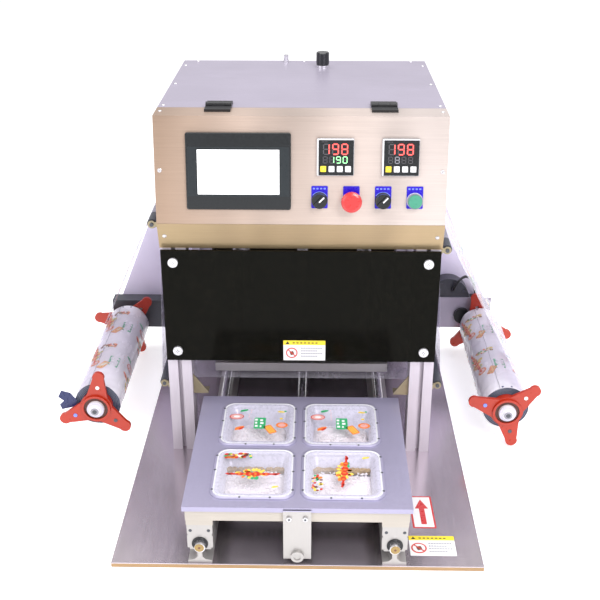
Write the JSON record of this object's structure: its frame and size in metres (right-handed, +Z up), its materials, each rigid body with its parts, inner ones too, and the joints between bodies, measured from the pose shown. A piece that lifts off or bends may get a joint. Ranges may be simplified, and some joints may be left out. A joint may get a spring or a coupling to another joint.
{
  "type": "tray sealing machine",
  "caption": "Semi-automatic film sealing machine: pneumatic hot press over a sliding mould drawer, film fed from a roll on one side to a roll on the other.",
  "frame": {"origin": "centre of the base plate's bottom face", "axes": "+Z up, +Y to the rear, +X across to the take-up roll"},
  "size_m": [1.0862, 0.92, 0.795],
  "materials": {
    "stainless": "brushed stainless sheet",
    "aluminium": "extruded and anodised",
    "zinc": "yellow zinc plated",
    "acrylic": "smoked acrylic, polished",
    "steel": "ground and polished steel",
    "dark_metal": "dark grey paint",
    "black_plastic": "fine texture",
    "screen": "bezel with lit screen",
    "legend_blue": "printed plate",
    "red": "moulded",
    "green": "moulded",
    "orange": "moulded",
    "white_plastic": "moulded",
    "film": "clear printed film",
    "roll": "wound printed film",
    "anodised": "clear anodised plate",
    "frame_alu": "machined",
    "food": "filling"
  },
  "bodies": {
    "frame": {"base_plate": "stainless", "posts": "aluminium", "post_brackets": "aluminium", "wing_plates": "stainless", "head_case": "stainless", "top_cover": "stainless", "rear_cover": "stainless", "lower_band": "stainless", "case_screws": "steel", "guards": "acrylic", "guard_screws": "steel", "press_bridge": "aluminium", "air_cylinder": "aluminium", "guide_bushes": "steel", "air_units": "aluminium", "control_units": "dark_metal", "rail_supports": "aluminium", "rail_shafts": "steel", "roller_brackets": "zinc", "feed_bracket": "dark_metal", "motor_bracket": "stainless", "gear_motor": "dark_metal", "motor_cable": "black_plastic", "hinge_leaves": "black_plastic", "film_webs": "film", "film_span": "film", "drawer_cylinder": "steel"},
    "door": {"control_panel": "stainless", "touch_screen": "screen", "temp_controllers": "black_plastic", "legend_plates": "legend_blue", "switch_blocks": "dark_metal", "door_hinges": "black_plastic", "door_screws": "steel"},
    "press": {"press_frame": "aluminium", "heating_plate": "aluminium", "seal_heads": "aluminium"},
    "drawer": {"mould_frame": "frame_alu", "mould_plate": "anodised", "cavity_rims": "steel", "bearing_blocks": "aluminium", "drawer_rod": "stainless", "trays": "white_plastic", "tray_fillings": "food"},
    "selector_left": {"selector_left": "black_plastic"},
    "selector_right": {"selector_right": "black_plastic"},
    "estop": {"estop_button": "red"},
    "start": {"start_button": "green"},
    "regulator": {"regulator_knob": "black_plastic"},
    "clutch": {"clutch_knob": "black_plastic"},
    "feed": {"feed_spindle": "white_plastic", "feed_flanges": "orange", "feed_roll": "roll"},
    "takeup": {"takeup_spindle": "white_plastic", "takeup_flanges": "orange", "takeup_roll": "roll"},
    "roller_ul": {"roller_upper_left": "dark_metal"},
    "roller_ur": {"roller_upper_right": "dark_metal"},
    "roller_ll": {"roller_lower_left": "dark_metal"},
    "roller_lr": {"roller_lower_right": "dark_metal"}
  },
  "joints": [
    {"name": "door_swing", "type": "hinge", "parent": "frame", "child": "door", "pos_m": [0, 0, 0.766], "axis": [-1, 0, 0], "range_deg": [0, 95]},
    {"name": "selector_left_turn", "type": "hinge", "parent": "door", "child": "selector_left", "pos_m": [0.037, -0.08758, 0.59944], "axis": [0, -0.9885, 0.1513], "range_deg": [0, 90]},
    {"name": "selector_right_turn", "type": "hinge", "parent": "door", "child": "selector_right", "pos_m": [0.161, -0.08758, 0.59944], "axis": [0, -0.9885, 0.1513], "range_deg": [0, 90]},
    {"name": "estop_push", "type": "slide", "parent": "door", "child": "estop", "axis": [0, 0.9885, -0.1513], "range_m": [0, 0.004]},
    {"name": "start_push", "type": "slide", "parent": "door", "child": "start", "axis": [0, 0.9885, -0.1513], "range_m": [0, 0.003], "stiffness_N_per_m": 400, "springref_m": -0.002},
    {"name": "regulator_turn", "type": "hinge", "parent": "frame", "child": "regulator", "pos_m": [0.043, 0.371, 0.76], "axis": [0, 0, 1], "range_deg": [0, 720]},
    {"name": "clutch_turn", "type": "hinge", "parent": "frame", "child": "clutch", "pos_m": [0.412, 0.403, 0.111], "axis": [0, 1, 0], "range_deg": [0, 720]},
    {"name": "press_stroke", "type": "slide", "parent": "frame", "child": "press", "axis": [0, 0, -1], "range_m": [0, 0.027], "deforming": ["film_span"]},
    {"name": "drawer_slide", "type": "slide", "parent": "frame", "child": "drawer", "axis": [0, 1, 0], "range_m": [0, 0.436]},
    {"name": "feed_spin", "type": "hinge", "parent": "frame", "child": "feed", "pos_m": [-0.456, 0.175, 0.092], "axis": [0, 1, 0], "continuous": true},
    {"name": "takeup_spin", "type": "hinge", "parent": "frame", "child": "takeup", "pos_m": [0.456, 0.175, 0.092], "axis": [0, 1, 0], "continuous": true},
    {"name": "roller_ul_spin", "type": "hinge", "parent": "frame", "child": "roller_ul", "pos_m": [-0.299, 0.175, 0.54], "axis": [0, 1, 0], "continuous": true},
    {"name": "roller_ur_spin", "type": "hinge", "parent": "frame", "child": "roller_ur", "pos_m": [0.296, 0.175, 0.488], "axis": [0, 1, 0], "continuous": true},
    {"name": "roller_ll_spin", "type": "hinge", "parent": "frame", "child": "roller_ll", "pos_m": [-0.2945, 0.175, 0.174], "axis": [0, 1, 0], "continuous": true},
    {"name": "roller_lr_spin", "type": "hinge", "parent": "frame", "child": "roller_lr", "pos_m": [0.2945, 0.175, 0.174], "axis": [0, 1, 0], "continuous": true}
  ],
  "couplings": [
    {"joint": "takeup_spin", "follows": "feed_spin", "ratio": 1},
    {"joint": "roller_ul_spin", "follows": "feed_spin", "ratio": 5.2},
    {"joint": "roller_ur_spin", "follows": "feed_spin", "ratio": 5.2},
    {"joint": "roller_ll_spin", "follows": "feed_spin", "ratio": -5.2},
    {"joint": "roller_lr_spin", "follows": "feed_spin", "ratio": -5.2}
  ]
}
